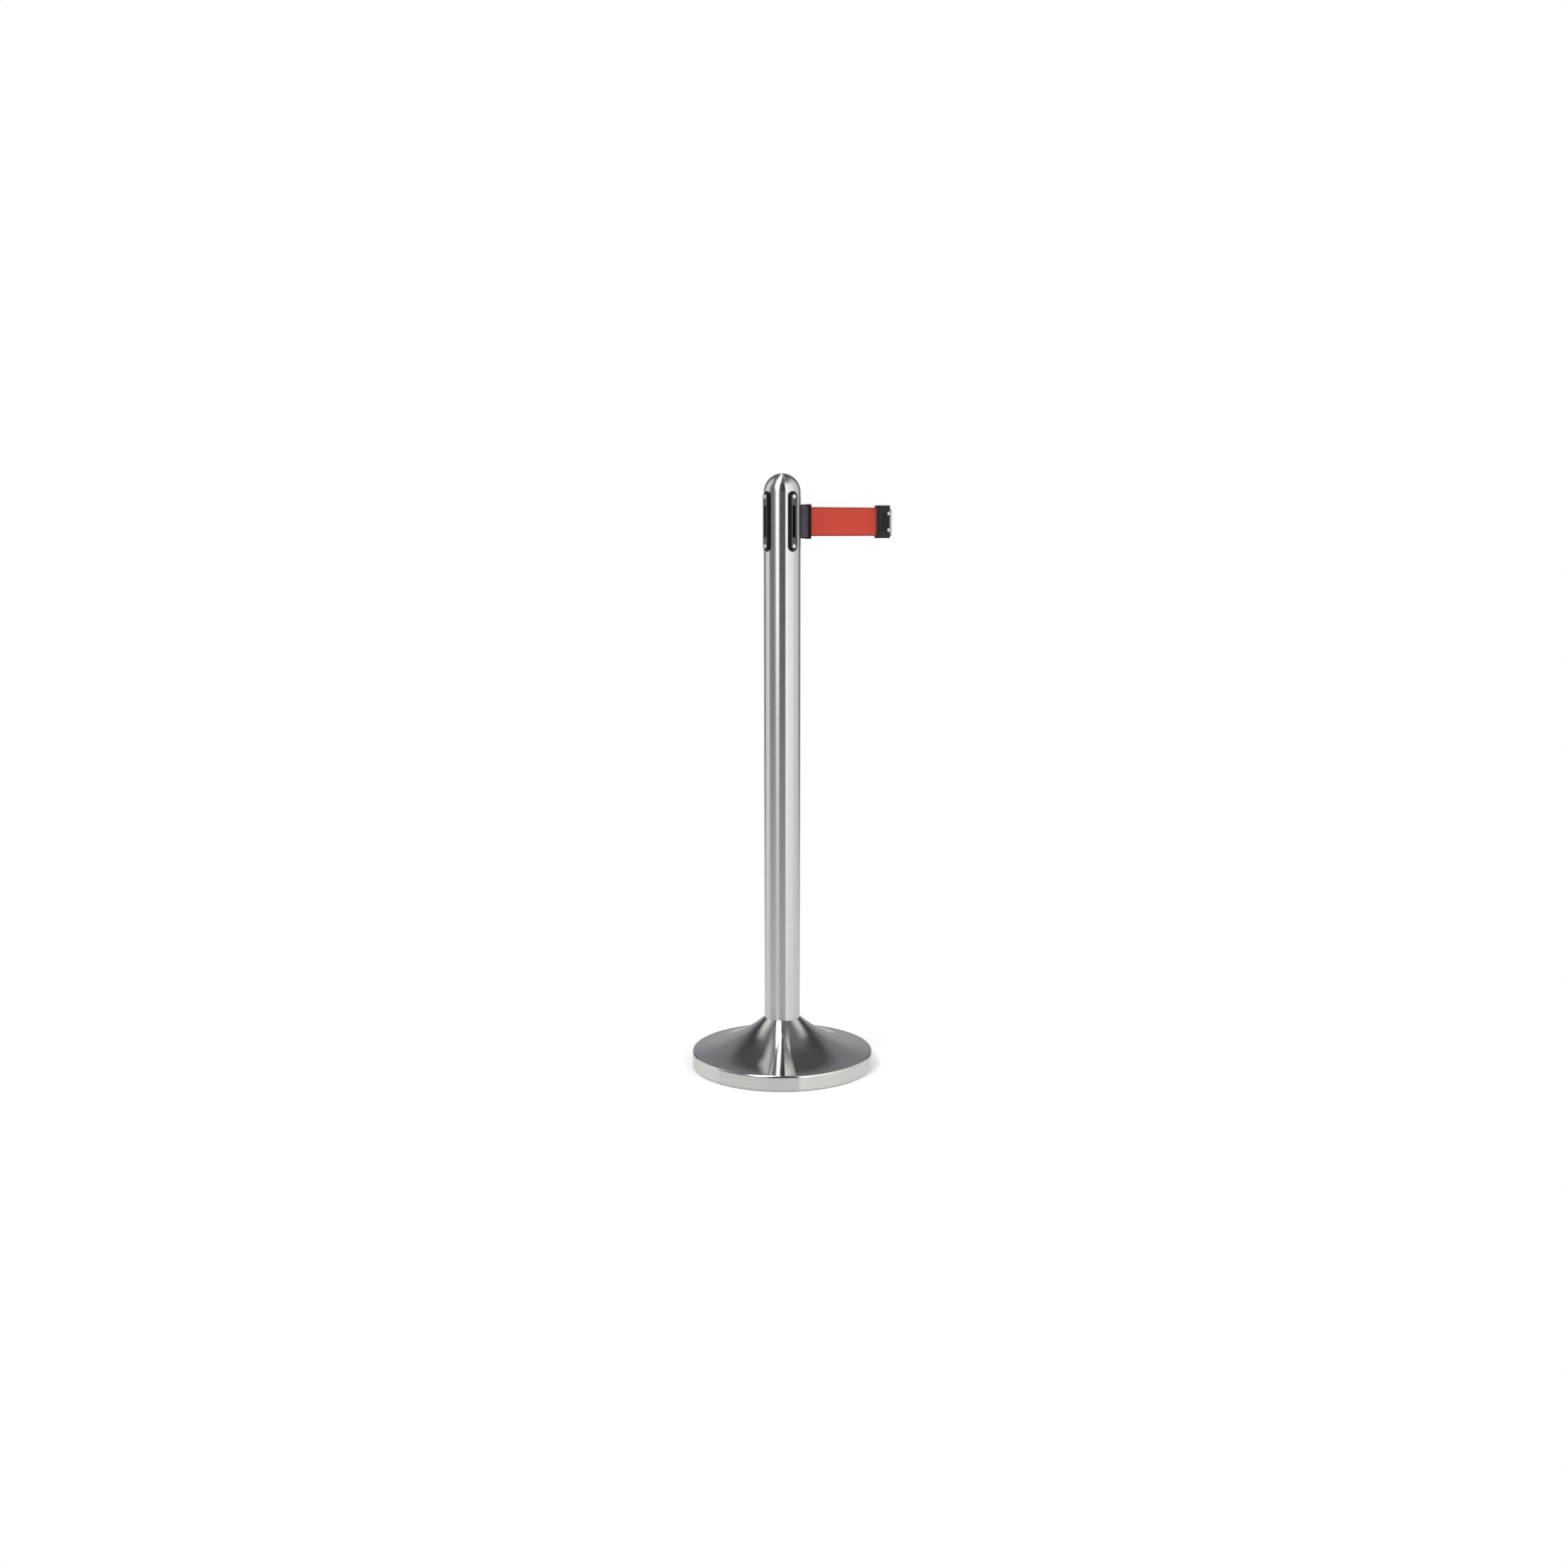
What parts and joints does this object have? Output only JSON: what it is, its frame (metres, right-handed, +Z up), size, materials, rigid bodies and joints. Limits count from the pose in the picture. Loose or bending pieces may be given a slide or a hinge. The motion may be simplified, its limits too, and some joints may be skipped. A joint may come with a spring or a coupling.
{
  "type": "retractable belt stanchion",
  "caption": "Free-standing stainless post on a weighted round base, with a belt that winds into its head and slotted receivers for other belts.",
  "frame": {"origin": "centre of the base on the floor", "axes": "+Z up along the post; +X the way the belt leaves the head"},
  "size_m": [0.3834, 0.309, 1],
  "materials": {
    "tube_steel": "satin, fine vertical brushing",
    "dome_steel": "satin, spun",
    "cover_steel": "satin, spun and brushed",
    "black_plastic": "moulded, semi-matte",
    "screw_steel": "bright",
    "belt_fabric": "woven polyester webbing",
    "rubber": "matte",
    "cast_iron": "rough, painted black",
    "plain_steel": "machined",
    "zinc_steel": "zinc plated",
    "spring_steel": "blued strip",
    "brass": "turned",
    "cassette_plastic": "moulded",
    "spool_plastic": "moulded, natural",
    "bushing_plastic": "acetal"
  },
  "bodies": {
    "post": {"floor_pad": "rubber", "base_weight": "cast_iron", "base_cover": "cover_steel", "tube_foot_plug": "plain_steel", "flat_washer": "zinc_steel", "split_washer": "zinc_steel", "tie_bolt": "zinc_steel", "post_tube": "tube_steel", "dome_cap": "dome_steel", "cap_stud": "zinc_steel", "cap_insert": "brass", "receiver_back": "black_plastic", "receiver_left": "black_plastic", "receiver_front": "black_plastic", "mouthpiece": "black_plastic", "plate_screws": "screw_steel", "cassette_body": "cassette_plastic", "cassette_top": "cassette_plastic", "cassette_screws": "zinc_steel", "lower_bushing": "bushing_plastic", "upper_bushing": "bushing_plastic", "belt_guide_pins": "plain_steel", "spring_housing": "cassette_plastic", "spring_lid": "plain_steel", "housing_screws": "zinc_steel", "power_spring": "spring_steel", "belt_run": "belt_fabric"},
    "spool": {"spool": "spool_plastic", "spool_top_flange": "spool_plastic", "spool_shaft": "plain_steel", "spring_arbor": "spool_plastic", "wound_belt": "belt_fabric"},
    "belt_end": {"clip_shell_front": "black_plastic", "clip_shell_back": "black_plastic", "clip_tongue": "plain_steel", "clip_pin": "plain_steel", "clip_screws": "screw_steel"}
  },
  "joints": [
    {"name": "belt_pull", "type": "slide", "parent": "post", "child": "belt_end", "axis": [1, 0, 0], "range_m": [-0.1418, 1.8578], "deforming": ["belt_run"]},
    {"name": "spool_spin", "type": "hinge", "parent": "post", "child": "spool", "pos_m": [0, 0, 0.922], "axis": [0, 0, 1], "range_deg": [-595, 7770], "deforming": ["power_spring"]}
  ],
  "couplings": [
    {"joint": "spool_spin", "follows": "belt_pull", "rad_per_m": 72.98}
  ]
}
